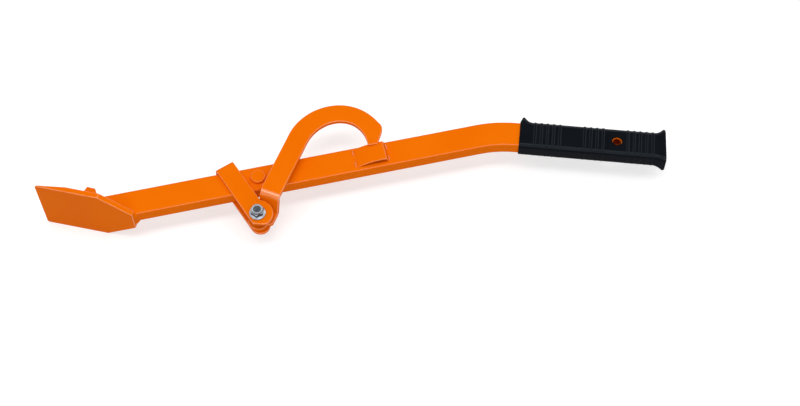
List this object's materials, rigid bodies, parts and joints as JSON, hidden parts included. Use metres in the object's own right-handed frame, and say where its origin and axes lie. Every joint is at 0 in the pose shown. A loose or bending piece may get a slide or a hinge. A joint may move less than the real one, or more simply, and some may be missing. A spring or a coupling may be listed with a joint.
{
  "type": "felling lever",
  "caption": "Felling lever: flat orange steel bar with a wedge blade, bent rubber-gripped handle and a cant hook pivoting in a sliding strap.",
  "frame": {"origin": "middle of the hang hole through the handle, halfway between the bar's wide faces", "axes": "+X along the straight bar from the blade towards the handle, +Y towards the side the hook opens on, +Z out of the bar's wide face that carries the stud and keeper"},
  "size_m": [0.8027, 0.1705, 0.09],
  "materials": {
    "orange_paint": "glossy powder coat",
    "black_rubber": "matt moulded",
    "zinc_steel": "bright zinc",
    "ring_plastic": "matt nylon"
  },
  "bodies": {
    "bar": {"bar_tube": "orange_paint", "blade": "orange_paint", "blade_weld": "orange_paint", "heel_spur": "orange_paint", "stop_stud": "orange_paint", "keeper_bridge": "orange_paint", "keeper_weld_low": "orange_paint", "keeper_weld_high": "orange_paint", "grip_sleeve": "black_rubber"},
    "strap_body": {"strap": "orange_paint", "pivot_bolt": "zinc_steel", "pivot_nut": "zinc_steel", "lock_ring": "ring_plastic"},
    "hook_body": {"hook": "orange_paint"}
  },
  "joints": [
    {"name": "strap_slide", "type": "slide", "parent": "bar", "child": "strap_body", "axis": [1, 0, 0], "range_m": [-0.08, 0.004]},
    {"name": "hook_swing", "type": "hinge", "parent": "strap_body", "child": "hook_body", "pos_m": [-0.47146, -0.00366, 0], "axis": [0, 0, 1], "range_deg": [-200, 0]}
  ]
}
